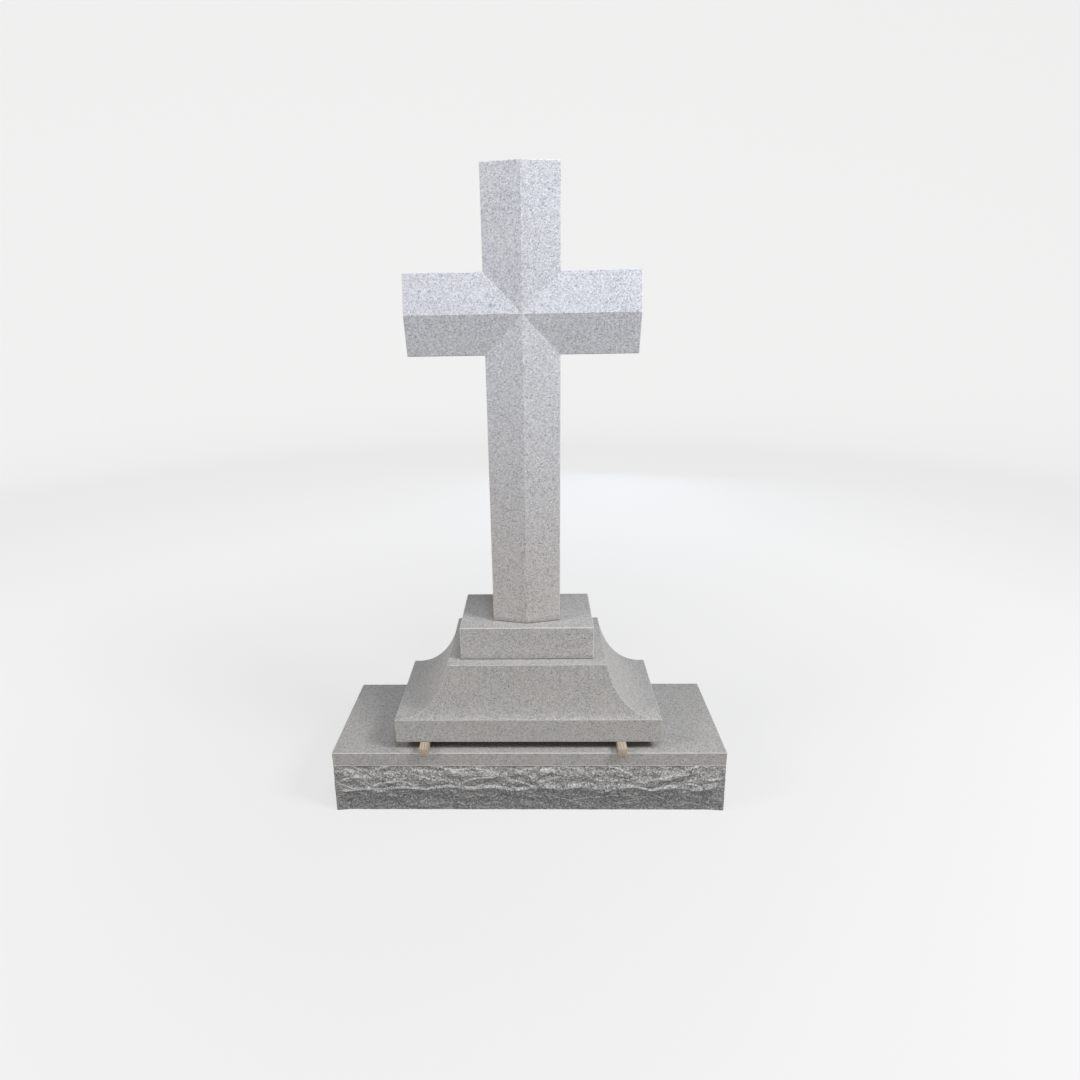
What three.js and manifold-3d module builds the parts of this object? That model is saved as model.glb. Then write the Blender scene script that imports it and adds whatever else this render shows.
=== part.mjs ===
// A granite cross memorial, dry-set in four stones: a rock-pitched base, a swept plinth, an upper
// block and a Latin cross with a pitched front. Two wooden strips hold the plinth off the base.
// Millimetres, +Z up. The origin is the middle of the base's underside, and the front faces -Y.
import * as THREE from 'three';
import { mergeVertices } from 'three/addons/utils/BufferGeometryUtils.js';
import Module from 'manifold-3d';

const wasm = await Module();
wasm.setup();

// Driving dimensions
const BASE_WIDTH = 914;
const BASE_DEPTH = 305;
const BASE_HEIGHT = 159;
const SAWN_BAND = 35;

const STRIP_SIDE = 22;
const STRIP_OVERHANG = 13;
const STRIP_LEFT_X = -240;
const STRIP_RIGHT_X = 216;

const PLINTH_WIDTH = 612;
const PLINTH_DEPTH = 280;
const PLINTH_BAND = 58;
const SWEEP_HEIGHT = 133;
const SWEEP_SIDE = 126.5;
const SWEEP_FRONT = 16;
const SWEEP_BATTER = 0.18;
const SWEEP_STEPS = 18;

const BLOCK_WIDTH = 302;
const BLOCK_DEPTH = 194;
const BLOCK_HEIGHT = 79;

const SHAFT_WIDTH = 152;
const CROSS_THICKNESS = 114;
const RIDGE_RISE = 18;
const FOOT_TO_ARMS = 587;
const ARM_HEIGHT = 157;
const HEAD_RISE = 188;
const ARM_SPAN = 467;

// The rock face. Reaches are how far a face stands out from the sawn band at its crest, and at the
// bottom of a corner.
const FRONT_REACH = 12;
const SIDE_REACH = 7;
const CORNER_REACH = 3;
const CORNER_FADE = 32;

// Its rows, as shares of the way down from the band to the underside, and of the face's reach.
const NICK_SHARE = 0.02;
const NICK_REACH = -0.12;
const LEDGE_SHARE = 0.12;
const LEDGE_SWING = 0.06;
const LEDGE_REACH = 0.5;
const LEDGE_FADE = 0.7;
const LEDGE_TREAD = 0.03;
const DISH_REACH = 0.5;
const CREST_SHARE = 0.49;
const CREST_SWING = 0.09;
const CREST_TREAD = [0.02, 0.1];
const UNDERCUT_ROWS = 4;
const UNDERCUT_CURVE = 1.5;

// Its arches and spalls, as counts round the stone.
const LEDGE_ARCHES = 31;
const CREST_ARCHES = 23;
const ARCH_BOW = 0.35;
const SPALLS = 53;
const SPALL_DEPTH = 0.2;
const ROCK_CELL = 13;

const SCATTER = { column: 127.1, row: 311.7, steepness: 43758.5453 };
const PERIMETER = 2 * (BASE_WIDTH + BASE_DEPTH);
const QUARTER_TURN = Math.PI / 2;
const MERGE_DISTANCE = 0.001;

// Materials
const granite = new THREE.MeshStandardMaterial({ color: 0xa7a5a2, roughness: 0.88, metalness: 0 });
const rockGranite = new THREE.MeshStandardMaterial({ color: 0x979694, roughness: 0.95, metalness: 0 });
const sawnWood = new THREE.MeshStandardMaterial({ color: 0xb39a72, roughness: 0.85, metalness: 0 });

// A repeatable number from 0 to 1 for each column and row: the fraction of a very steep sine wave.
function scatter(column, row) {
  const wave = Math.sin(column * SCATTER.column + row * SCATTER.row) * SCATTER.steepness;
  return wave - Math.floor(wave);
}

function smooth(t) {
  const s = Math.min(Math.max(t, 0), 1);
  return s * s * (3 - 2 * s);
}

// Scattered numbers round the stone, joined by smooth steps. They run once round without a seam.
function swell(place, count, row) {
  const column = Math.floor(place);
  const step = smooth(place - column);
  return scatter(column % count, row) * (1 - step) + scatter((column + 1) % count, row) * step;
}

// A line of shallow arches with cusps between them, each at its own height, from -1 to 1.
function arches(along, count, row) {
  const place = (along / PERIMETER) * count;
  const bow = Math.abs(Math.sin(Math.PI * place));
  return 2 * (1 - ARCH_BOW) * (swell(place, count, row) - 0.5) + 2 * ARCH_BOW * (bow - 0.5);
}

// A smooth uneven surface over the rock face, from 0 to 1.
function spalls(along, down) {
  const place = (along / PERIMETER) * SPALLS;
  const level = (down * (BASE_HEIGHT - SAWN_BAND) * SPALLS) / PERIMETER;
  const line = Math.floor(level);
  const step = smooth(level - line);
  return swell(place, SPALLS, line) * (1 - step) + swell(place, SPALLS, line + 1) * step;
}

// The rows of the rock face from the band down, as they run under one point of the outline:
// [share of the way down, share of the reach]. A nick under the band, a ledge, a dished face, a
// crest, and an undercut that falls back to the underside.
function rockRows(along) {
  const ledge = LEDGE_SHARE - LEDGE_SWING * arches(along, LEDGE_ARCHES, 1);
  const crest = CREST_SHARE - CREST_SWING * arches(along, CREST_ARCHES, 2);
  const turns = along / PERIMETER;
  const ledgeReach = LEDGE_REACH * (1 - LEDGE_FADE * swell(turns * LEDGE_ARCHES, LEDGE_ARCHES, 3));
  const [thin, thick] = CREST_TREAD;
  const crestTread = thin + (thick - thin) * swell(turns * CREST_ARCHES, CREST_ARCHES, 4);
  const rows = [
    [0, 0],
    [NICK_SHARE, NICK_REACH],
    [ledge, 0],
    [ledge + LEDGE_TREAD, ledgeReach],
    [(ledge + crest) / 2, DISH_REACH],
    [crest - crestTread, DISH_REACH],
    [crest, 1],
  ];
  for (let row = 1; row <= UNDERCUT_ROWS; row += 1) {
    const fall = row / UNDERCUT_ROWS;
    rows.push([crest + (1 - crest) * fall, (1 - fall) ** UNDERCUT_CURVE]);
  }
  return rows;
}

// The rectangle of a stone seen from above, with its sides cut into short lengths.
function outline(width, depth, cell) {
  const corners = [
    [-width / 2, -depth / 2],
    [width / 2, -depth / 2],
    [width / 2, depth / 2],
    [-width / 2, depth / 2],
  ];
  const points = [];
  corners.forEach(([x, y], side) => {
    const [nextX, nextY] = corners[(side + 1) % corners.length];
    const cuts = Math.round(Math.hypot(nextX - x, nextY - y) / cell);
    for (let cut = 0; cut < cuts; cut += 1) {
      points.push(new THREE.Vector2(x + ((nextX - x) * cut) / cuts, y + ((nextY - y) * cut) / cuts));
    }
  });
  return new THREE.Shape(points);
}

// Distance along the outline of the base, anticlockwise from its front left corner.
function alongOutline(x, y) {
  if (y <= -BASE_DEPTH / 2) return x + BASE_WIDTH / 2;
  if (x >= BASE_WIDTH / 2) return BASE_WIDTH + y + BASE_DEPTH / 2;
  if (y >= BASE_DEPTH / 2) return BASE_WIDTH * 1.5 + BASE_DEPTH - x;
  return 2 * BASE_WIDTH + 1.5 * BASE_DEPTH - y;
}

// Moves each point of an extrusion of unit height to the place that a function gives it.
function reshape(geometry, place) {
  const position = geometry.getAttribute('position');
  for (let i = 0; i < position.count; i += 1) {
    position.setXYZ(i, ...place(position.getX(i), position.getY(i), position.getZ(i)));
  }
  geometry.computeVertexNormals();
  return geometry;
}

// How far the rock face stands out at one point of the outline, as a step in x and in y. Near a
// corner it gives way to a straight edge that leans out a little.
function rockStep(x, y, down, share) {
  const fromSide = BASE_WIDTH / 2 - Math.abs(x);
  const fromFront = BASE_DEPTH / 2 - Math.abs(y);
  const onLongFace = fromFront < fromSide;
  const fade = smooth((onLongFace ? fromSide : fromFront) / CORNER_FADE);
  const reach = onLongFace && y < 0 ? FRONT_REACH : SIDE_REACH;
  const corner = CORNER_REACH * down * (1 - fade);
  const face = reach * share * fade * (1 - SPALL_DEPTH * spalls(alongOutline(x, y), down));
  const out = corner + face;
  return [Math.sign(x) * (onLongFace ? corner : out), Math.sign(y) * (onLongFace ? out : corner)];
}

function makeBase() {
  const rowCount = rockRows(0).length;
  const geometry = new THREE.ExtrudeGeometry(outline(BASE_WIDTH, BASE_DEPTH, ROCK_CELL), {
    depth: 1,
    steps: rowCount,
    bevelEnabled: false,
  });
  return reshape(geometry, (x, y, level) => {
    const row = Math.round((1 - level) * rowCount);
    if (row === 0) return [x, y, BASE_HEIGHT];
    const [down, share] = rockRows(alongOutline(x, y))[row - 1];
    const [stepX, stepY] = rockStep(x, y, down, share);
    return [x + stepX, y + stepY, (BASE_HEIGHT - SAWN_BAND) * (1 - down)];
  });
}

// The sweep: a quarter round with a little batter, from 0 at its top to 1 at its foot.
function sweepShare(down) {
  return 1 - Math.sqrt(1 - down * down) + SWEEP_BATTER * down * (1 - down);
}

// The plinth's levels, closer together where the sweep turns flat: [height, share of the sweep].
function plinthLevel(step) {
  if (step === 0) return [0, 1];
  const down = Math.sin(QUARTER_TURN * (1 - (step - 1) / SWEEP_STEPS));
  return [PLINTH_BAND + SWEEP_HEIGHT * (1 - down), sweepShare(down)];
}

function makePlinth() {
  const steps = SWEEP_STEPS + 1;
  const geometry = new THREE.ExtrudeGeometry(outline(2, 2, 2), { depth: 1, steps, bevelEnabled: false });
  return reshape(geometry, (x, y, level) => {
    const [height, share] = plinthLevel(Math.round(level * steps));
    const halfWidth = PLINTH_WIDTH / 2 - SWEEP_SIDE * (1 - share);
    const halfDepth = PLINTH_DEPTH / 2 - SWEEP_FRONT * (1 - share);
    return [x * halfWidth, y * halfDepth, height];
  });
}

// A limb of the cross: a rectangle with a pitched front, run from one height to another.
function limb(width, from, to) {
  const half = width / 2;
  const back = CROSS_THICKNESS / 2;
  const section = new THREE.Shape([
    new THREE.Vector2(-half, -back),
    new THREE.Vector2(0, -back - RIDGE_RISE),
    new THREE.Vector2(half, -back),
    new THREE.Vector2(half, back),
    new THREE.Vector2(-half, back),
  ]);
  const geometry = new THREE.ExtrudeGeometry(section, { depth: to - from, bevelEnabled: false });
  return geometry.translate(0, 0, from);
}

function toSolid(geometry) {
  const bare = new THREE.BufferGeometry();
  bare.setAttribute('position', geometry.getAttribute('position'));
  const merged = mergeVertices(bare, MERGE_DISTANCE);
  const vertProperties = merged.getAttribute('position').array;
  return new wasm.Manifold(new wasm.Mesh({ numProp: 3, vertProperties, triVerts: merged.index.array }));
}

function toGeometry(solid) {
  const mesh = solid.getMesh();
  const geometry = new THREE.BufferGeometry();
  geometry.setAttribute('position', new THREE.BufferAttribute(mesh.vertProperties, 3));
  geometry.setIndex(new THREE.BufferAttribute(mesh.triVerts, 1));
  const flat = geometry.toNonIndexed();
  flat.computeVertexNormals();
  return flat;
}

// The shaft and the arms are two pitched limbs run through each other, so their slopes meet in
// valleys from the inner corners to the middle.
function makeCross() {
  const shaft = limb(SHAFT_WIDTH, 0, FOOT_TO_ARMS + ARM_HEIGHT + HEAD_RISE);
  const arms = limb(ARM_HEIGHT, -ARM_SPAN / 2, ARM_SPAN / 2);
  arms.rotateY(QUARTER_TURN);
  arms.translate(0, 0, FOOT_TO_ARMS + ARM_HEIGHT / 2);
  return toGeometry(toSolid(shaft).add(toSolid(arms)));
}

function makeBlock() {
  return new THREE.BoxGeometry(BLOCK_WIDTH, BLOCK_DEPTH, BLOCK_HEIGHT).translate(0, 0, BLOCK_HEIGHT / 2);
}

function makeStrip() {
  const length = BASE_DEPTH + 2 * STRIP_OVERHANG;
  return new THREE.BoxGeometry(STRIP_SIDE, length, STRIP_SIDE).translate(0, 0, STRIP_SIDE / 2);
}

function place(name, geometry, material, x, z) {
  const mesh = new THREE.Mesh(geometry, material);
  mesh.name = name;
  mesh.position.set(x, 0, z);
  return mesh;
}

const stripFoot = BASE_HEIGHT;
const plinthFoot = stripFoot + STRIP_SIDE;
const blockFoot = plinthFoot + PLINTH_BAND + SWEEP_HEIGHT;
const crossFoot = blockFoot + BLOCK_HEIGHT;

const memorial = new THREE.Group();
memorial.add(place('base', makeBase(), rockGranite, 0, 0));
memorial.add(place('packing_strip_left', makeStrip(), sawnWood, STRIP_LEFT_X, stripFoot));
memorial.add(place('packing_strip_right', makeStrip(), sawnWood, STRIP_RIGHT_X, stripFoot));
memorial.add(place('plinth', makePlinth(), granite, 0, plinthFoot));
memorial.add(place('upper_block', makeBlock(), granite, 0, blockFoot));
memorial.add(place('cross', makeCross(), granite, 0, crossFoot));

export default memorial;
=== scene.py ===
import bmesh
import bpy
import numpy as np
from mathutils import Matrix, Vector


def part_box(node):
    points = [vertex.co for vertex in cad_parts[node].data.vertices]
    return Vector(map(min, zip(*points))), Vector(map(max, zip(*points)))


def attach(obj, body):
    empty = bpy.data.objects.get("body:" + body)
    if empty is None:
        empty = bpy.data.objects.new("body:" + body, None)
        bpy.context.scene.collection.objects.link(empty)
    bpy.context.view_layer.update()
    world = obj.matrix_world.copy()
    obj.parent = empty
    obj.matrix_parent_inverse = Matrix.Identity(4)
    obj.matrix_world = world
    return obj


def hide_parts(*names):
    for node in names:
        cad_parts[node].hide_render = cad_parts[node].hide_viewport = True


# The looks of a granite cross memorial. Sizes in the dictionaries are millimetres, unless a note
# says otherwise.
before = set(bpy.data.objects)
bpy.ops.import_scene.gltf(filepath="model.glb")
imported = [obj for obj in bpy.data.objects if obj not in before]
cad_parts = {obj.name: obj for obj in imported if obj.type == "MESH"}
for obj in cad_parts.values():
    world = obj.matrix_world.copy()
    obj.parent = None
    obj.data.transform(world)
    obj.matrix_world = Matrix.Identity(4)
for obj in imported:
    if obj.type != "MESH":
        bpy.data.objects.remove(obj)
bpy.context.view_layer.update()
mm = 0.001

# Camera: a hand-held picture from eye height, in front and a little to the right of the middle.
# Pitch is downwards, yaw to the left, roll clockwise. Degrees, and the shift as a share of the width.
cameraValues = {
    "place": (26.8, -1449.2, 1115.2),
    "pitch": 19.143,
    "yaw": 1.543,
    "roll": -0.999,
    "lens": 22.233,
    "sensor": 36.0,
    "shift": (0.0177, 0.0056),
}


def makeCamera(values):
    pitch, yaw, roll = (np.radians(values[key]) for key in ("pitch", "yaw", "roll"))
    turn = np.array([[np.cos(yaw), -np.sin(yaw), 0], [np.sin(yaw), np.cos(yaw), 0], [0, 0, 1]])
    right = turn @ [1, 0, 0]
    ahead = turn @ [0, np.cos(pitch), -np.sin(pitch)]
    above = np.cross(right, ahead)
    across = np.cos(roll) * right + np.sin(roll) * above
    upward = np.cos(roll) * above - np.sin(roll) * right
    data = bpy.data.cameras.new("camera")
    data.lens = values["lens"]
    data.sensor_width = values["sensor"]
    data.shift_x, data.shift_y = values["shift"]
    camera = bpy.data.objects.new("camera", data)
    place = Vector(values["place"]) * mm
    axes = Matrix(np.array([across, upward, -ahead]).T)
    camera.matrix_world = Matrix.LocRotScale(place, axes, None)
    bpy.context.scene.collection.objects.link(camera)
    bpy.context.scene.camera = camera


makeCamera(cameraValues)
bpy.context.scene.view_settings.view_transform = "Standard"
print("camera set")


# Numbers that scatter and swell, as in the solids: the fraction of a very steep sine wave,
# joined round the stone by smooth steps. A smooth step is three times the square of the way along
# it, less twice the cube.
scatterValues = {"column": 127.1, "row": 311.7, "steepness": 43758.5453}


def smooth(t):
    t = np.clip(t, 0, 1)
    return t * t * (3 - 2 * t)


def scatter(column, row):
    wave = np.sin(column * scatterValues["column"] + row * scatterValues["row"])
    wave = wave * scatterValues["steepness"]
    return wave - np.floor(wave)


def swell(place, count, row):
    column = np.floor(place)
    step = smooth(place - column)
    return scatter(column % count, row) * (1 - step) + scatter((column + 1) % count, row) * step


# Smooth uneven ground from -1 to 1 over a strip that closes on itself: numbers on a lattice of
# count columns, blended along the strip by swell and between its lines by a smooth step.
def ground(place, level, count, firstLine):
    line = np.floor(level)
    step = smooth(level - line)
    upper = swell(place, count, firstLine + line)
    lower = swell(place, count, firstLine + line + 1)
    return 2 * (upper * (1 - step) + lower * step) - 1


# One trip round a square with rounded corners, anticlockwise from its front left corner. side is
# where a point stands on the square from -1 to 1, and out is the direction that it faces.
def roundSquare(frontCuts, sideCuts, backCuts, cornerCuts):
    runs = []
    for start, end, out, cuts in (
        ((-1, -1), (1, -1), (0, -1), frontCuts),
        ((1, -1), (1, 1), (1, 0), sideCuts),
        ((1, 1), (-1, 1), (0, 1), backCuts),
        ((-1, 1), (-1, -1), (-1, 0), sideCuts),
    ):
        share = np.linspace(0, 1, cuts + 1)[:, None]
        straight = np.array(start) * (1 - share) + np.array(end) * share
        facing = np.repeat([out], cuts + 1, 0)
        angle = np.arctan2(out[1], out[0]) + np.pi / 2 * np.arange(1, cornerCuts)[:, None] / cornerCuts
        bend = np.hstack([np.cos(angle), np.sin(angle)])
        corner = np.repeat([end], cornerCuts - 1, 0)
        runs.append(np.hstack([straight, facing]))
        runs.append(np.hstack([corner, bend]))
    trip = np.vstack(runs)
    return trip[:, :2].T, trip[:, 2:].T


# The faces between rings of points that are numbered ring by ring.
def ringFaces(rows, columns):
    number = np.arange(rows * columns).reshape(rows, columns)
    after = np.roll(number, -1, 1)
    quads = np.stack([number[:-1], number[1:], after[1:], after[:-1]], -1)
    return quads.reshape(-1, 4).tolist()


def newPiece(name, points, faces, materials):
    mesh = bpy.data.meshes.new(name)
    mesh.from_pydata((points * mm).tolist(), [], faces)
    for material in materials:
        mesh.materials.append(material)
    piece = bpy.data.objects.new(name, mesh)
    bpy.context.scene.collection.objects.link(piece)
    return piece


# A closed piece from rings of points, rows by columns. Each ring runs anticlockwise as seen from
# the first ring's end, so that the faces point outwards. Flat faces close the first and last rings.
def pieceFromRings(name, x, y, z, materials):
    rows, columns = x.shape
    points = np.stack([x, y, z], -1).reshape(-1, 3)
    top = list(range(columns))
    bottom = [(rows - 1) * columns + place for place in reversed(top)]
    return newPiece(name, points, ringFaces(rows, columns) + [top, bottom], materials)


def addAttribute(piece, name, values):
    attribute = piece.data.attributes.new(name, "FLOAT", "POINT")
    attribute.data.foreach_set("value", np.ascontiguousarray(values.ravel(), np.float32))


def finishPiece(piece, node):
    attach(piece, "root")
    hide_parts(node)


# The eased arrises of a worked stone: a narrow round bevel on each edge that turns by more than
# an angle in degrees, in the second material, which is paler: bruised, and a painted highlight.
arrisValues = {
    "segments": 2,
    "leastTurn": 35.0,
}


def easeArrises(piece, width):
    bevel = piece.modifiers.new("arrises", "BEVEL")
    bevel.width = width * mm
    bevel.segments = arrisValues["segments"]
    bevel.limit_method = "ANGLE"
    bevel.angle_limit = np.radians(arrisValues["leastTurn"])
    bevel.material = 1


# Materials. Colours are sRGB hex values, and linear turns one to linear light, with an alpha of 1.
def linear(hexColour):
    parts = np.array([int(hexColour[i:i + 2], 16) for i in (1, 3, 5)]) / 255
    parts = np.where(parts <= 0.04045, parts / 12.92, ((parts + 0.055) / 1.055) ** 2.4)
    return (*parts.tolist(), 1.0)


def newMaterial(name):
    material = bpy.data.materials.new(name)
    material.use_nodes = True
    material.node_tree.nodes.clear()
    return material, material.node_tree


# Adds a node with its settings. inputs are numbers, colours or the sockets they come from, and
# stops are the places along a colour ramp with a hex colour or a grey at each. A Mix node of
# colours has its share at input 0, the colours at 6 and 7, and the result at output 2.
def addNode(tree, kind, inputs, stops=(), **settings):
    node = tree.nodes.new(kind)
    for key, value in settings.items():
        setattr(node, key, value)
    for key, value in inputs.items():
        if isinstance(value, bpy.types.NodeSocket):
            tree.links.new(value, node.inputs[key])
        else:
            node.inputs[key].default_value = value
    for number, (place, colour) in enumerate(stops):
        elements = node.color_ramp.elements
        element = elements[number] if number < len(elements) else elements.new(place)
        element.position = place
        element.color = linear(colour) if isinstance(colour, str) else (colour, colour, colour, 1)
    return node


# The surface of a matt material: its colour and a fine bump, with the bump's depth in metres.
def addMattSurface(tree, values, colour, height, depth):
    bump = addNode(tree, "ShaderNodeBump",
                   {"Height": height, "Strength": values["bump"], "Distance": depth})
    shader = addNode(tree, "ShaderNodeBsdfPrincipled",
                     {"Base Color": colour, "Roughness": values["roughness"], "IOR": values["ior"],
                      "Specular IOR Level": values["specular"], "Normal": bump.outputs["Normal"]})
    addNode(tree, "ShaderNodeOutputMaterial", {"Surface": shader.outputs["BSDF"]})


# Grey granite, fine-axed: feldspar, quartz and a little black mica in grains of 1 to 3 mm. The
# axe leaves the surface matt, pale and finely pitted, and dulls the mica to grey. minerals are
# mica, quartz, feldspar and pale feldspar, each with the share of the grains that comes before it.
# warmth is how much of the warm patches shows as their noise rises.
graniteValues = {
    "grain": 2.0,
    "fineGrain": 1.1,
    "fineShare": 0.45,
    "minerals": ((0.0, "#6a6a69"), (0.1, "#999896"), (0.38, "#b6b4b0"), (0.8, "#cccac6")),
    "patch": 90.0,
    "patchDetail": 3.0,
    "warmPatch": "#c6beb4",
    "warmth": ((0.35, 0.0), (0.7, 0.14)),
    "bruisedHighlit": "#e2e0dc",
    "roughness": 0.86,
    "ior": 1.54,
    "specular": 0.35,
    "bump": 0.6,
    "pitSize": 2.2,
    "pitDetail": 2.0,
    "pitDepth": 0.12,
    "jointShadowColour": "#4c4a47",
    "jointShade": 0.8,
    "jointFrom": 0.05,
    "jointFull": 0.96,
    "jointTo": 2.4,
}


# The stones come from different blocks: the cross is paler, and a split face is duller than a sawn one.
# The cross is also painted paler and cooler towards its top, as if lit from above, and darker at its
# foot. This is painted light. The split face is painted darker towards its foot, as painted shade in
# its undercut. These are their shades of red, green and blue against the granite's own, first at the
# bed and then at a height above it in metres.
stoneShades = {
    "cross": ((1.02, 1.0, 1.02), (1.15, 1.22, 1.38), 0.62),
    "plinth": ((0.965, 0.975, 1.0), (0.965, 0.975, 1.0), 0.1),
    "base": ((0.935, 0.942, 0.96), (0.935, 0.942, 0.96), 0.1),
    "split": ((0.68, 0.71, 0.755), (0.75, 0.76, 0.775), 0.1),
}


# The colour of granite where it was cut: each grain takes its mineral from its own random number,
# and fine grains are mixed with large ones. bed is the height of the stone's underside in metres.
def graniteColour(tree, values, coordinates, stone, bed):
    grains = []
    for size in (values["grain"], values["fineGrain"]):
        cells = addNode(tree, "ShaderNodeTexVoronoi",
                        {"Vector": coordinates, "Scale": 1 / (size * mm)})
        lots = addNode(tree, "ShaderNodeSeparateColor", {"Color": cells.outputs["Color"]})
        mineral = addNode(tree, "ShaderNodeValToRGB", {"Fac": lots.outputs["Red"]}, values["minerals"])
        mineral.color_ramp.interpolation = "CONSTANT"
        grains.append(mineral.outputs["Color"])
    grain = addNode(tree, "ShaderNodeMix",
                    {0: values["fineShare"], 6: grains[0], 7: grains[1]}, data_type="RGBA")
    patch = addNode(tree, "ShaderNodeTexNoise",
                    {"Vector": coordinates, "Scale": 1 / (values["patch"] * mm),
                     "Detail": values["patchDetail"]})
    warmth = addNode(tree, "ShaderNodeValToRGB", {"Fac": patch.outputs["Fac"]}, values["warmth"])
    colour = addNode(tree, "ShaderNodeMix",
                     {0: warmth.outputs["Color"], 6: grain.outputs[2], 7: linear(values["warmPatch"])},
                     data_type="RGBA")
    # The shade is mixed from foot to top up the stone: painted light on the cross, painted shade at the
    # split face's foot.
    foot, top, fade = stoneShades[stone]
    height = addNode(tree, "ShaderNodeSeparateXYZ", {"Vector": coordinates})
    upward = addNode(tree, "ShaderNodeMapRange",
                     {"Value": height.outputs["Z"], "From Min": bed, "From Max": bed + fade})
    shade = addNode(tree, "ShaderNodeMix",
                    {0: upward.outputs["Result"], 6: (*foot, 1), 7: (*top, 1)}, data_type="RGBA")
    shaded = addNode(tree, "ShaderNodeMix", {0: 1.0, 6: colour.outputs[2], 7: shade.outputs[2]},
                     data_type="RGBA", blend_type="MULTIPLY")
    return shaded.outputs[2]


# A painted shadow darkens the joint under a stone: a thin dark line that starts just above its bed.
def makeAxedGranite(name, values, stone, bruiseHighlightShare, bed):
    material, tree = newMaterial(name)
    coordinates = addNode(tree, "ShaderNodeTexCoord", {}).outputs["Object"]
    colour = graniteColour(tree, values, coordinates, stone, bed)
    # The arris is paler partly as bruised stone and partly as a painted highlight.
    if bruiseHighlightShare:
        bruisedHighlit = addNode(tree, "ShaderNodeMix",
                          {0: bruiseHighlightShare, 6: colour, 7: linear(values["bruisedHighlit"])}, data_type="RGBA")
        colour = bruisedHighlit.outputs[2]
    height = addNode(tree, "ShaderNodeSeparateXYZ", {"Vector": coordinates}).outputs["Z"]
    fade = addNode(tree, "ShaderNodeMapRange",
                   {"Value": height, "From Min": bed + values["jointFull"] * mm,
                    "From Max": bed + values["jointTo"] * mm,
                    "To Min": values["jointShade"], "To Max": 0.0})
    above = addNode(tree, "ShaderNodeMath", {0: height, 1: bed + values["jointFrom"] * mm},
                    operation="GREATER_THAN")
    jointShadowShare = addNode(tree, "ShaderNodeMath", {0: fade.outputs["Result"], 1: above.outputs[0]},
                   operation="MULTIPLY")
    jointShadowed = addNode(tree, "ShaderNodeMix",
                    {0: jointShadowShare.outputs[0], 6: colour, 7: linear(values["jointShadowColour"])}, data_type="RGBA")
    pits = addNode(tree, "ShaderNodeTexNoise",
                   {"Vector": coordinates, "Scale": 1 / (values["pitSize"] * mm),
                    "Detail": values["pitDetail"]})
    addMattSurface(tree, values, jointShadowed.outputs[2], pits.outputs["Fac"], values["pitDepth"] * mm)
    return material


def graniteAndArris(stone, bruiseHighlightShare, bed):
    return [makeAxedGranite(f"fine_axed_granite_{stone}", graniteValues, stone, 0, bed),
            makeAxedGranite(f"bruised_highlit_arris_{stone}", graniteValues, stone, bruiseHighlightShare, bed)]


# The joint under the plinth is open, so the plinth's granite has its painted joint shadow at the upper
# block's bed.
crossGranite = graniteAndArris("cross", 0.3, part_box("cross")[0].z)
plinthGranite = graniteAndArris("plinth", 0.6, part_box("upper_block")[0].z)
print("granite made")


# The base stone: sawn on top and round a band, rock-pitched below it. Shares are of the way down
# from the band to the underside, and of the face's reach. Flakes have a length, a height and a
# depth, and lumps a length and a depth. seeds are where each kind of scattered number starts.
baseValues = {
    "width": 914.0,
    "depth": 305.0,
    "height": 159.0,
    "band": 35.0,
    "bandRows": (2.0, 0.5),
    "corner": 2.0,
    "cornerCuts": 4,
    "arris": 1.5,
    "arrisRows": 4,
    "frontReach": 12.0,
    "sideReach": 7.0,
    "cornerReach": 3.0,
    "cornerFade": 32.0,
    "nickShare": 0.02,
    "nickReach": -0.12,
    "ledgeShare": 0.12,
    "ledgeSwing": 0.06,
    "ledgeReach": 0.5,
    "ledgeFade": 0.7,
    "ledgeTread": 0.09,
    "dishReach": 0.5,
    "crestShare": 0.49,
    "crestSwing": 0.09,
    "crestTread": (0.02, 0.1),
    "undercutCurve": 1.5,
    "ledgeArches": 31,
    "crestArches": 23,
    "archBow": 0.35,
    "spalls": 53,
    "spallDepth": 0.2,
    "frontCell": 1.7,
    "sideCell": 3.2,
    "flakes": ((56.0, 32.0, 5.8), (23.0, 14.0, 1.7), (9.0, 6.0, 0.6)),
    "flakeSpread": 0.8,
    "flakeLean": 1.5,
    "flakeRise": 0.3,
    "stepLines": 5,
    "stepLength": 78.0,
    "stepSpread": 0.6,
    "stepHalf": (0.35, 0.45),
    "stepDrop": 17.0,
    "stepUneven": (0.1, 0.9),
    "stepReach": (1.4, 4.4),
    "stepTread": 2.4,
    "stepFall": 24.0,
    "stepSlant": 0.55,
    "stepBow": 10.0,
    "stepFade": 1.6,
    "lumps": ((5.5, 0.4), (3.4, 0.45)),
    "shear": 0.45,
    "undercutRelief": 0.4,
    "sideRelief": 0.8,
    "cornerRelief": 0.25,
    "bandFade": 4.0,
    "footFade": 8.0,
    "footRelief": 0.35,
    "bruiseHighlightSlope": (0.35, 0.9),
    "bruiseHighlightLeast": 0.3,
    "patches": 44,
    "patchLines": 4,
    "patchLevel": 0.75,
    "patchSwing": 0.9,
    "undercutShadeSlope": 0.9,
    "leastDrop": 0.2,
    "seeds": {"patches": 40, "flakes": 100, "lumps": 500, "steps": 900},
}


# How many pieces of one length go round the base.
def countRound(values, length):
    return round(2 * (values["width"] + values["depth"]) / length)


# A line of shallow arches with cusps between them, each at its own height, from -1 to 1.
def arches(share, count, row, bowShare):
    place = share * count
    bow = np.abs(np.sin(np.pi * place))
    return 2 * (1 - bowShare) * (swell(place, count, row) - 0.5) + 2 * bowShare * (bow - 0.5)


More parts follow.
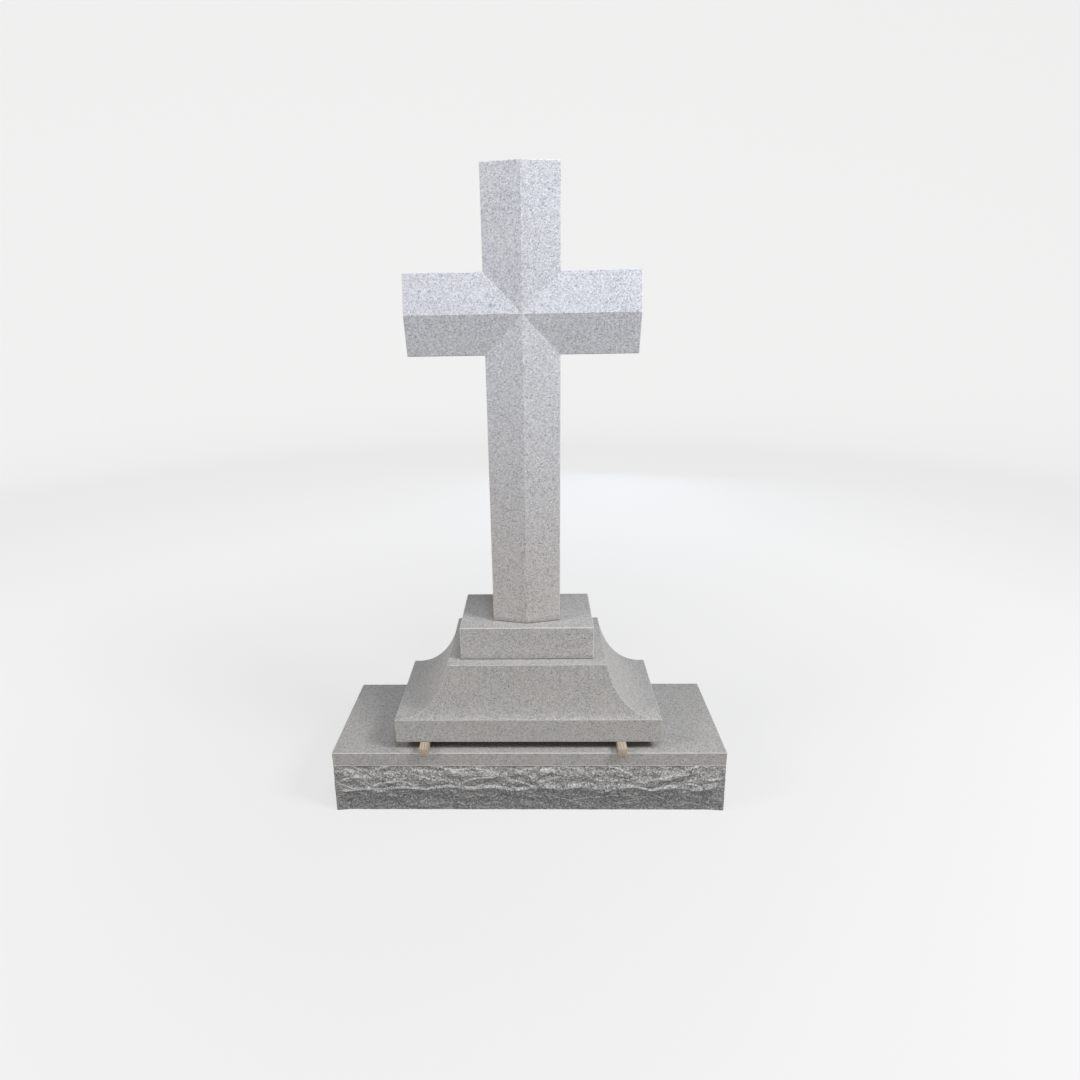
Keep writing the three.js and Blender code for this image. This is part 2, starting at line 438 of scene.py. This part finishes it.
# The rows of the rock face: knots run down it under each point of the outline, as in the solid,
# and rows are spaced evenly between each two knots. A knot is its share of the way down and of
# the reach, the rows from the last knot to it, and the power of the curve between the two.
def rockRows(values, share):
    ledge = values["ledgeShare"] - values["ledgeSwing"] * arches(
        share, values["ledgeArches"], 1, values["archBow"])
    crest = values["crestShare"] - values["crestSwing"] * arches(
        share, values["crestArches"], 2, values["archBow"])
    fade = values["ledgeFade"] * swell(share * values["ledgeArches"], values["ledgeArches"], 3)
    thin, thick = values["crestTread"]
    tread = thin + (thick - thin) * swell(share * values["crestArches"], values["crestArches"], 4)
    flat = np.zeros_like(share)
    knots = (
        (flat, 0.0, 0, 1),
        (flat + values["nickShare"], values["nickReach"], 2, 1),
        (ledge, 0.0, 8, 1),
        (ledge + values["ledgeTread"], values["ledgeReach"] * (1 - fade), 3, 1),
        ((ledge + crest) / 2, values["dishReach"], 12, 1),
        (crest - tread, values["dishReach"], 11, 1),
        (crest, 1.0, 5, 1),
        (flat + 1, 0.0, 32, values["undercutCurve"]),
    )
    down = [flat[None]]
    reach = [flat[None]]
    for (high, highReach, _, _), (low, lowReach, rows, power) in zip(knots, knots[1:]):
        step = (np.arange(1, rows + 1) / rows)[:, None]
        curve = 1 - (1 - step) ** power
        down.append(high + (low - high) * step)
        reach.append(highReach + (lowReach - highReach) * curve + 0 * high)
    return np.vstack(down), np.vstack(reach)


# Each blow took a flake: a shallow bowl, wider than tall, that leans to one side. The face is the
# lowest of all the bowls, so that they meet in crisp ridges. A bowl rises with the square of the
# distance from its middle, which is counted in bowls along the stone and down the face.
def flakes(values, share, drop, length, tall, depth, seed):
    count = countRound(values, length)
    place = share * count
    level = drop / tall + 0.5
    spread = values["flakeSpread"]
    rise = values["flakeRise"]
    lowest = np.full(drop.shape, np.inf)
    for nextLine in (-1, 0, 1):
        for nextColumn in (-2, -1, 0, 1, 2):
            line = np.floor(level) + nextLine
            column = np.floor(place) + nextColumn
            lot = [scatter(column % count, seed + 7 * kind + line) for kind in range(4)]
            below = level - line - 0.5 - spread * (lot[1] - 0.5)
            lean = values["flakeLean"] * (2 * lot[2] - 1)
            along = place - column - 0.5 - spread * (lot[0] - 0.5) + lean * below
            lowest = np.minimum(lowest, along ** 2 + below ** 2 + rise * lot[3])
    return depth * (lowest - rise)


# Broken steps: short ledges one below another, each an arc that slants to one side, steps out
# within its tread and falls back slowly below it. A step dies away towards its two ends.
def brokenSteps(values, share, drop, seed):
    count = countRound(values, values["stepLength"])
    least, most = values["stepReach"]
    short, longer = values["stepHalf"]
    even, uneven = values["stepUneven"]
    relief = np.zeros(drop.shape)
    for line in range(values["stepLines"]):
        for nextColumn in (-1, 0, 1):
            column = np.floor(share * count) + nextColumn
            lot = [scatter(column % count, seed + 5 * kind + line) for kind in range(5)]
            along = share * count - column - 0.5 - values["stepSpread"] * (lot[0] - 0.5)
            along = along / (short + longer * lot[1])
            slant = values["stepSlant"] * (2 * lot[3] - 1) * values["stepLength"] / 2
            height = values["stepDrop"] * (line + even + uneven * lot[2])
            below = drop - height - slant * along - values["stepBow"] * along ** 2
            step = np.minimum(below / values["stepTread"], 1 - below / values["stepFall"])
            window = smooth(values["stepFade"] * (1 - np.abs(along)))
            reach = least + (most - least) * lot[4]
            relief = np.maximum(relief, reach * np.clip(step, 0, 1) * window)
    return relief


# Finer relief than the solid's: broken steps, flakes at three sizes and uneven ground at two
# sizes, sheared so that its lattice doesn't show. The undercut has it fainter, and it fades under
# the band and towards the foot.
def fineRelief(values, share, down, reachShare):
    seeds = values["seeds"]
    rockHeight = values["height"] - values["band"]
    drop = down * rockHeight
    relief = brokenSteps(values, share, drop, seeds["steps"])
    for number, (length, tall, depth) in enumerate(values["flakes"]):
        seed = seeds["flakes"] + 100 * number
        relief = relief + flakes(values, share, drop, length, tall, depth, seed)
    undercut = np.cumsum(reachShare == 1, 0) > 0
    relief = relief * np.where(undercut, values["undercutRelief"], 1)
    for number, (length, depth) in enumerate(values["lumps"]):
        count = countRound(values, length)
        level = drop / length
        place = share * count + values["shear"] * level
        relief = relief + depth * ground(place, level, count, seeds["lumps"] + 100 * number)
    foot = values["footRelief"] + (1 - values["footRelief"]) * smooth(
        (rockHeight - drop) / values["footFade"])
    return relief * smooth(drop / values["bandFade"]) * foot


# The rows of the rock face: how far down they are, how far they stand out, and their x and y.
def rockFace(values, x, y, out, share):
    down, reachShare = rockRows(values, share)
    fromSide = values["width"] / 2 - np.abs(x)
    fromFront = values["depth"] / 2 - np.abs(y)
    fade = smooth(np.maximum(fromSide, fromFront) / values["cornerFade"])
    onFront = (y < 0) & (fromFront < fromSide)
    full = np.where(onFront, values["frontReach"], values["sideReach"])
    perimeter = 2 * (values["width"] + values["depth"])
    level = down * (values["height"] - values["band"]) * values["spalls"] / perimeter
    spall = (1 + ground(share * values["spalls"], level, values["spalls"], 0)) / 2
    face = fade * full * reachShare * (1 - values["spallDepth"] * spall)
    fine = fineRelief(values, share, down, reachShare)
    fine = fine * (values["cornerRelief"] + (1 - values["cornerRelief"]) * fade)
    face = face + fine * np.where(onFront, 1, values["sideRelief"])
    lean = values["cornerReach"] * down * (1 - fade)
    return down, face, x + out[0] * face + np.sign(x) * lean, y + out[1] * face + np.sign(y) * lean


# A tread that faces up is bruised white in patches and painted paler as a highlight, and a face that
# falls back is painted darker as shade.
def faceMarks(values, share, down, face):
    drop = down * (values["height"] - values["band"])
    slope = np.gradient(face, axis=0) / np.maximum(np.gradient(drop, axis=0), values["leastDrop"])
    uneven = ground(share * values["patches"], down * values["patchLines"], values["patches"],
                    values["seeds"]["patches"])
    patches = smooth(values["patchLevel"] + values["patchSwing"] * uneven)
    least = values["bruiseHighlightLeast"]
    first, full = values["bruiseHighlightSlope"]
    bruiseHighlight = smooth((slope - first) / full) * (least + (1 - least) * patches)
    return bruiseHighlight, smooth(-slope / values["undercutShadeSlope"])


def makeBase(values, materials):
    side, out = roundSquare(round(values["width"] / values["frontCell"]),
                            round(values["depth"] / values["sideCell"]),
                            round(values["width"] / values["sideCell"]), values["cornerCuts"])
    half = np.array([values["width"], values["depth"]])[:, None] / 2
    x, y = side * (half - values["corner"]) + out * values["corner"]
    length = np.hypot(np.diff(x, append=x[0]), np.diff(y, append=y[0]))
    share = (np.cumsum(length) - length) / length.sum()
    rockHeight = values["height"] - values["band"]
    down, face, rockX, rockY = rockFace(values, x, y, out, share)

    # The top edge is a quarter round, and the band runs down to a crisp arris.
    turn = np.linspace(0, np.pi / 2, values["arrisRows"])[:, None]
    inset = values["arris"] * (1 - np.sin(turn))
    topZ = values["height"] - values["arris"] * (1 - np.cos(turn)) + 0 * x
    bandZ = rockHeight + np.array(values["bandRows"])[:, None] + 0 * x
    gridX = np.vstack([x - out[0] * inset, x + 0 * bandZ, rockX])
    gridY = np.vstack([y - out[1] * inset, y + 0 * bandZ, rockY])
    gridZ = np.vstack([topZ, bandZ, rockHeight * (1 - down)])

    # The sawn rows come first. The row where the band ends is half sawn and half split, and the
    # rows next to an edge are bruised as an arris and carry a painted highlight.
    sawnRows = len(turn) + len(bandZ)
    sawn = np.zeros((sawnRows, x.size))
    bruiseHighlight, undercutShade = faceMarks(values, share, down, face)
    rock = np.vstack([sawn, np.ones_like(down)])
    rock[sawnRows] = 0.5
    edge = np.zeros_like(rock)
    edge[[1, 2, sawnRows - 1, sawnRows]] = 1

    piece = pieceFromRings("base_stone", gridX, gridY, gridZ, materials)
    addAttribute(piece, "rock", rock)
    addAttribute(piece, "bruiseHighlight", np.vstack([sawn, bruiseHighlight]))
    addAttribute(piece, "edge", edge)
    addAttribute(piece, "undercutShade", np.vstack([sawn, undercutShade]))
    finishPiece(piece, "base")


# Grey granite, sawn flat on top and split below: a split face is rough, with open grains that
# stand out light and dark. The struck edges are bruised white in crumbs and painted paler as a
# highlight, the sawn arrises too, and the undercut is painted darker as shade.
pitchedValues = dict(
    graniteValues,
    grain=2.8,
    fineGrain=1.5,
    minerals=((0.0, "#2e2f32"), (0.1, "#7c7d7f"), (0.38, "#adacaa"), (0.8, "#edebe8")),
    undercutShadeColour="#5d6168",
    undercutShadeShare=0.4,
    edgeShare=0.7,
    crumb=4.0,
    crumbDetail=3.0,
    crumbs=((0.4, 0.0), (0.62, 0.7)),
    bump=0.7,
    gritSize=3.0,
    gritDetail=3.0,
    gritDepth=1.25,
)


def makePitchedGranite(values):
    material, tree = newMaterial("rock_pitched_granite")
    coordinates = addNode(tree, "ShaderNodeTexCoord", {}).outputs["Object"]
    marks = {name: addNode(tree, "ShaderNodeAttribute", {}, attribute_name=name).outputs["Fac"]
             for name in ("rock", "bruiseHighlight", "edge", "undercutShade")}
    sawn = graniteColour(tree, graniteValues, coordinates, "base", 0)
    split = graniteColour(tree, values, coordinates, "split", 0)
    # Painted shade darkens the undercut, where the face falls back.
    undercutShade = addNode(tree, "ShaderNodeMath", {0: marks["undercutShade"], 1: values["undercutShadeShare"]},
                      operation="MULTIPLY")
    shadedSplit = addNode(tree, "ShaderNodeMix",
                   {0: undercutShade.outputs[0], 6: split, 7: linear(values["undercutShadeColour"])}, data_type="RGBA")
    colour = addNode(tree, "ShaderNodeMix", {0: marks["rock"], 6: sawn, 7: shadedSplit.outputs[2]},
                     data_type="RGBA")
    noise = addNode(tree, "ShaderNodeTexNoise",
                    {"Vector": coordinates, "Scale": 1 / (values["crumb"] * mm),
                     "Detail": values["crumbDetail"]})
    crumbs = addNode(tree, "ShaderNodeValToRGB", {"Fac": noise.outputs["Fac"]}, values["crumbs"])
    # Painted highlights: up-facing treads, in crumbs, and the sawn arrises.
    struckAndLit = addNode(tree, "ShaderNodeMath", {0: marks["bruiseHighlight"], 1: crumbs.outputs["Color"]},
                     operation="MULTIPLY")
    edge = addNode(tree, "ShaderNodeMath", {0: marks["edge"], 1: values["edgeShare"]},
                   operation="MULTIPLY")
    bruiseHighlight = addNode(tree, "ShaderNodeMath", {0: struckAndLit.outputs[0], 1: edge.outputs[0]},
                     operation="MAXIMUM")
    bruisedHighlit = addNode(tree, "ShaderNodeMix",
                      {0: bruiseHighlight.outputs[0], 6: colour.outputs[2], 7: linear(values["bruisedHighlit"])},
                      data_type="RGBA")
    grit = addNode(tree, "ShaderNodeTexNoise",
                   {"Vector": coordinates, "Scale": 1 / (values["gritSize"] * mm),
                    "Detail": values["gritDetail"]})
    depth = addNode(tree, "ShaderNodeMapRange",
                    {"Value": marks["rock"], "To Min": values["pitDepth"] * mm,
                     "To Max": values["gritDepth"] * mm})
    addMattSurface(tree, values, bruisedHighlit.outputs[2], grit.outputs["Fac"], depth.outputs["Result"])
    return material


makeBase(baseValues, [makePitchedGranite(pitchedValues)])
print("base stone made")


# The plinth: an upright band, and a hollow sweep on all four sides up to a flat top.
plinthValues = {
    "width": 612.0,
    "depth": 280.0,
    "band": 58.0,
    "sweepHeight": 133.0,
    "sweepSide": 126.5,
    "sweepFront": 16.0,
    "batter": 0.18,
    "steps": 44,
    "arris": 1.6,
}


# The sweep is a quarter round with a little batter: its share is 1 less the root of 1 less the
# square of the way down, plus the batter times the way down and the way left.
def makePlinth(values, materials):
    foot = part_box("plinth")[0].z / mm
    side = np.array([[-1, 1, 1, -1], [-1, -1, 1, 1]])
    down = np.sin(np.pi / 2 * np.linspace(0, 1, values["steps"] + 1))
    share = 1 - np.sqrt(1 - down * down) + values["batter"] * down * (1 - down)
    share = np.append(share, 1)[:, None]
    height = np.append(values["band"] + values["sweepHeight"] * (1 - down), 0)[:, None]
    x = side[0] * (values["width"] / 2 - values["sweepSide"] * (1 - share))
    y = side[1] * (values["depth"] / 2 - values["sweepFront"] * (1 - share))
    z = foot + height + 0 * x
    piece = pieceFromRings("swept_plinth", x, y, z, materials)
    easeArrises(piece, values["arris"])
    finishPiece(piece, "plinth")


blockValues = {"arris": 1.4}


# The upper block: a plain rectangle of stone, as wide and deep as its solid.
def makeBlock(values, materials):
    low, high = (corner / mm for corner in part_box("upper_block"))
    x = np.array([[low.x, high.x, high.x, low.x]] * 2)
    y = np.array([[low.y, low.y, high.y, high.y]] * 2)
    z = np.array([[high.z] * 4, [low.z] * 4])
    piece = pieceFromRings("upper_block_stone", x, y, z, materials)
    easeArrises(piece, values["arris"])
    finishPiece(piece, "upper_block")


# The cross: an outline of twelve corners with a flat back and a pitched front. Its four ridges
# run from the middle of each end to the middle of the cross.
crossValues = {
    "shaftWidth": 152.0,
    "armHeight": 157.0,
    "footToArms": 587.0,
    "ridgeRise": 18.0,
    "arris": 1.5,
}


def makeCross(values, materials):
    low, high = (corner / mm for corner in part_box("cross"))
    shaft = values["shaftWidth"] / 2
    armLow = low.z + values["footToArms"]
    armHigh = armLow + values["armHeight"]
    armMiddle = (armLow + armHigh) / 2
    front = low.y + values["ridgeRise"]

    # Each limb of the outline, anticlockwise from the foot: its two end corners and the inner
    # corner after them. Then the ridge's end on each limb, and the middle.
    ring = np.array([
        [-shaft, low.z], [shaft, low.z], [shaft, armLow],
        [high.x, armLow], [high.x, armHigh], [shaft, armHigh],
        [shaft, high.z], [-shaft, high.z], [-shaft, armHigh],
        [low.x, armHigh], [low.x, armLow], [-shaft, armLow],
    ])
    ridge = np.array([[0, low.z], [high.x, armMiddle], [0, high.z], [low.x, armMiddle], [0, armMiddle]])
    points = np.vstack([
        np.insert(ring, 1, front, 1),
        np.insert(ring, 1, high.y, 1),
        np.insert(ridge, 1, low.y, 1),
    ])
    back = len(ring)
    ridgeStart = 2 * back
    middle = len(points) - 1
    faces = [list(range(ridgeStart - 1, back - 1, -1))]
    for limb in range(4):
        first = limb * 3
        second = first + 1
        inner = first + 2
        before = (first - 1) % back
        end = ridgeStart + limb
        faces.append([before, first, end, middle])
        faces.append([end, second, inner, middle])
        faces.append([first, first + back, second + back, second, end])
        faces.append([second, second + back, inner + back, inner])
        faces.append([before, before + back, first + back, first])
    piece = newPiece("pitched_cross", points, faces, materials)
    shell = bmesh.new()
    shell.from_mesh(piece.data)
    bmesh.ops.recalc_face_normals(shell, faces=shell.faces)
    shell.to_mesh(piece.data)
    shell.free()
    easeArrises(piece, values["arris"])
    finishPiece(piece, "cross")


makePlinth(plinthValues, plinthGranite)
makeBlock(blockValues, plinthGranite)
makeCross(crossValues, crossGranite)
print("plinth, upper block and cross made")


# The packing strips: square sticks of softwood, rough-sawn, with worn edges. Each kind of uneven
# ground has the length of its swells, how many go round the stick, and its depth.
stripValues = {
    "corner": 3.0,
    "sideCuts": 9,
    "cornerCuts": 5,
    "endEase": 1.2,
    "easeStart": 0.3,
    "cell": 2.5,
    "wobble": (60.0, 6, 0.5),
    "ridges": (9.0, 24, 0.25),
}


# A rounded square carried front to back, so its first ring is in front. Slow and fast uneven ground
# is taken off it, so it never stands outside its solid.
def makeStrip(node, seed, values, materials):
    low, high = (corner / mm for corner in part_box(node))
    cuts = values["sideCuts"]
    side, out = roundSquare(cuts, cuts, cuts, values["cornerCuts"])
    halfSide = (high.x - low.x) / 2
    length = high.y - low.y
    rows = round(length / values["cell"])
    ease = values["endEase"]
    start = values["easeStart"] * ease
    even = np.linspace(ease, length - ease, rows)
    along = np.concatenate([[0, start], even, [length - start, length]])[:, None]
    inset = np.concatenate([[ease, start], np.zeros(rows), [start, ease]])[:, None]
    place = np.arange(side.shape[1]) / side.shape[1]
    for number, kind in enumerate(("wobble", "ridges")):
        swellLength, count, depth = values[kind]
        uneven = ground(place * count, along / swellLength, count, seed + 40 * number)
        inset = inset + depth * (1 + uneven) / 2
    corner = values["corner"]
    x = (low.x + high.x) / 2 + side[0] * (halfSide - corner) + out[0] * (corner - inset)
    z = (low.z + high.z) / 2 + side[1] * (halfSide - corner) + out[1] * (corner - inset)
    y = low.y + along + 0 * x
    piece = pieceFromRings(node + "_stick", x, y, z, materials)
    piece.data.shade_smooth()
    finishPiece(piece, node)


# Softwood, rough-sawn and bare: pale brown with darker year rings along the stick, and a furry
# sawn surface. stretch is how far the grain is drawn out along the stick, and ringScale turns the
# spacing of the rings into the scale of their waves.
woodValues = {
    "tones": ((0.25, "#9c8f7b"), (0.65, "#beb2a1")),
    "ring": 3.2,
    "ringScale": 0.3,
    "ringWander": 6.0,
    "ringDetail": 2.0,
    "stretch": (1, 0.06, 1),
    "fibre": 6.0,
    "fibreDetail": 3.0,
    "fibreShare": 0.5,
    "roughness": 0.85,
    "ior": 1.5,
    "specular": 0.3,
    "bump": 0.6,
    "fur": 0.3,
}


def makeSawnWood(values):
    material, tree = newMaterial("rough_sawn_softwood")
    coordinates = addNode(tree, "ShaderNodeTexCoord", {}).outputs["Object"]
    stretched = addNode(tree, "ShaderNodeMapping", {"Vector": coordinates, "Scale": values["stretch"]})
    fibres = addNode(tree, "ShaderNodeTexNoise",
                     {"Vector": stretched.outputs["Vector"], "Scale": 1 / (values["fibre"] * mm),
                      "Detail": values["fibreDetail"]})
    rings = addNode(tree, "ShaderNodeTexWave",
                    {"Vector": stretched.outputs["Vector"],
                     "Scale": values["ringScale"] / (values["ring"] * mm),
                     "Distortion": values["ringWander"], "Detail": values["ringDetail"]},
                    bands_direction="DIAGONAL")
    both = addNode(tree, "ShaderNodeMix",
                   {0: values["fibreShare"], 6: rings.outputs["Color"], 7: fibres.outputs["Color"]},
                   data_type="RGBA")
    colour = addNode(tree, "ShaderNodeValToRGB", {"Fac": both.outputs[2]}, values["tones"])
    addMattSurface(tree, values, colour.outputs["Color"], fibres.outputs["Fac"], values["fur"] * mm)
    return material


sawnWood = makeSawnWood(woodValues)
makeStrip("packing_strip_left", 500, stripValues, [sawnWood])
makeStrip("packing_strip_right", 600, stripValues, [sawnWood])
print("packing strips made")


# A round pale floor that is flat at first and then climbs to its rim by half a smooth step, so that
# it has no edge from any side. Sizes in metres, and middle is the first ring's share of the rim.
# Its glow grows from the middle outwards, between two distances.
floorValues = {
    "flat": 4.5,
    "rim": 7.0,
    "rise": 5.0,
    "middle": 0.02,
    "rings": 60,
    "cuts": 96,
    "colour": "#808080",
    "roughness": 0.9,
    "specular": 0.1,
    "glow": (0.64, 0.77),
    "glowFrom": (0.2, 2.4),
}


def makeFloor(values):
    material, tree = newMaterial("pale_floor")
    coordinates = addNode(tree, "ShaderNodeTexCoord", {}).outputs["Object"]
    distance = addNode(tree, "ShaderNodeVectorMath", {0: coordinates}, operation="LENGTH")
    glow = addNode(tree, "ShaderNodeMapRange",
                   {"Value": distance.outputs["Value"], "From Min": values["glowFrom"][0],
                    "From Max": values["glowFrom"][1], "To Min": values["glow"][0],
                    "To Max": values["glow"][1]}, interpolation_type="SMOOTHSTEP")
    shader = addNode(tree, "ShaderNodeBsdfPrincipled",
                     {"Base Color": linear(values["colour"]), "Roughness": values["roughness"],
                      "Specular IOR Level": values["specular"], "Emission Color": (1, 1, 1, 1),
                      "Emission Strength": glow.outputs["Result"]})
    addNode(tree, "ShaderNodeOutputMaterial", {"Surface": shader.outputs["BSDF"]})

    radius = np.linspace(values["middle"], 1, values["rings"])[:, None] * values["rim"]
    angle = np.linspace(0, 2 * np.pi, values["cuts"], endpoint=False)
    lift = smooth((radius - values["flat"]) / (2 * (values["rim"] - values["flat"])))
    x = radius * np.cos(angle)
    y = radius * np.sin(angle)
    z = 2 * values["rise"] * lift + 0 * angle
    points = np.stack([x, y, z], -1).reshape(-1, 3) / mm
    faces = ringFaces(*x.shape) + [list(range(values["cuts"]))]
    floor = newPiece("floor", points, faces, [material])
    floor.data.shade_smooth()

    # The floor glows just enough to look pale, and lights nothing: the room gives its bounced light.
    material.cycles.emission_sampling = "NONE"
    floor.visible_diffuse = False
    floor.visible_glossy = False
    floor.visible_shadow = False


# Soft light from both sides, from above the camera and from overhead, and cool light from behind.
# Places and sizes in metres, power in watts.
lightValues = {
    "overhead": {"place": (0.2, -0.45, 2.4), "size": 0.8, "power": 4.5, "colour": "#e8f0ff"},
    "front": {"place": (0.3, -1.5, 3.6), "size": 1.0, "power": 28, "colour": "#f2f6ff"},
    "right": {"place": (1.9, -1.0, 2.4), "size": 1.0, "power": 54, "colour": "#fffefc"},
    "left": {"place": (-2.6, -1.2, 2.4), "size": 1.2, "power": 41, "colour": "#fffbf8"},
    "behind": {"place": (0.6, 3.2, 1.2), "size": 2.0, "power": 14, "colour": "#cddfff"},
}
lightAim = Vector((0, 0, 0.6))


def makeLights(values):
    for name, light in values.items():
        data = bpy.data.lights.new(name, "AREA")
        data.shape = "DISK"
        data.size = light["size"]
        data.energy = light["power"]
        data.color = linear(light["colour"])[:3]
        lamp = bpy.data.objects.new(name, data)
        lamp.location = light["place"]
        lamp.visible_camera = False
        aim = lightAim - Vector(light["place"])
        lamp.rotation_euler = aim.to_track_quat("-Z", "Y").to_euler()
        bpy.context.scene.collection.objects.link(lamp)


# The room is brightest in a ring just under the horizon, as above a pale floor. Its strength
# follows the height of the direction, from -1 straight down to 1 straight up. A ramp holds no
# number over 1, so the strengths are a share of the strongest that it may hold.
roomValues = {
    "colour": "#fffcf9",
    "heights": (-0.5, -0.35, -0.05, 0.05, 1.0),
    "strengths": (0.0, 1.45, 1.45, 0.1, 0.13),
    "strongest": 2.0,
}


def makeRoom(values):
    world = bpy.data.worlds.new("room")
    world.use_nodes = True
    tree = world.node_tree
    tree.nodes.clear()
    direction = addNode(tree, "ShaderNodeTexCoord", {}).outputs["Generated"]
    height = addNode(tree, "ShaderNodeSeparateXYZ", {"Vector": direction})
    place = addNode(tree, "ShaderNodeMapRange",
                    {"Value": height.outputs["Z"], "From Min": -1.0, "From Max": 1.0})
    stops = [((height + 1) / 2, strength / values["strongest"])
             for height, strength in zip(values["heights"], values["strengths"])]
    ring = addNode(tree, "ShaderNodeValToRGB", {"Fac": place.outputs["Result"]}, stops)
    strength = addNode(tree, "ShaderNodeMath", {0: ring.outputs["Color"], 1: values["strongest"]},
                       operation="MULTIPLY")
    background = addNode(tree, "ShaderNodeBackground",
                         {"Color": linear(values["colour"]), "Strength": strength.outputs[0]})
    addNode(tree, "ShaderNodeOutputWorld", {"Surface": background.outputs["Background"]})
    bpy.context.scene.world = world


makeFloor(floorValues)
makeLights(lightValues)
makeRoom(roomValues)
print("floor and lights made")
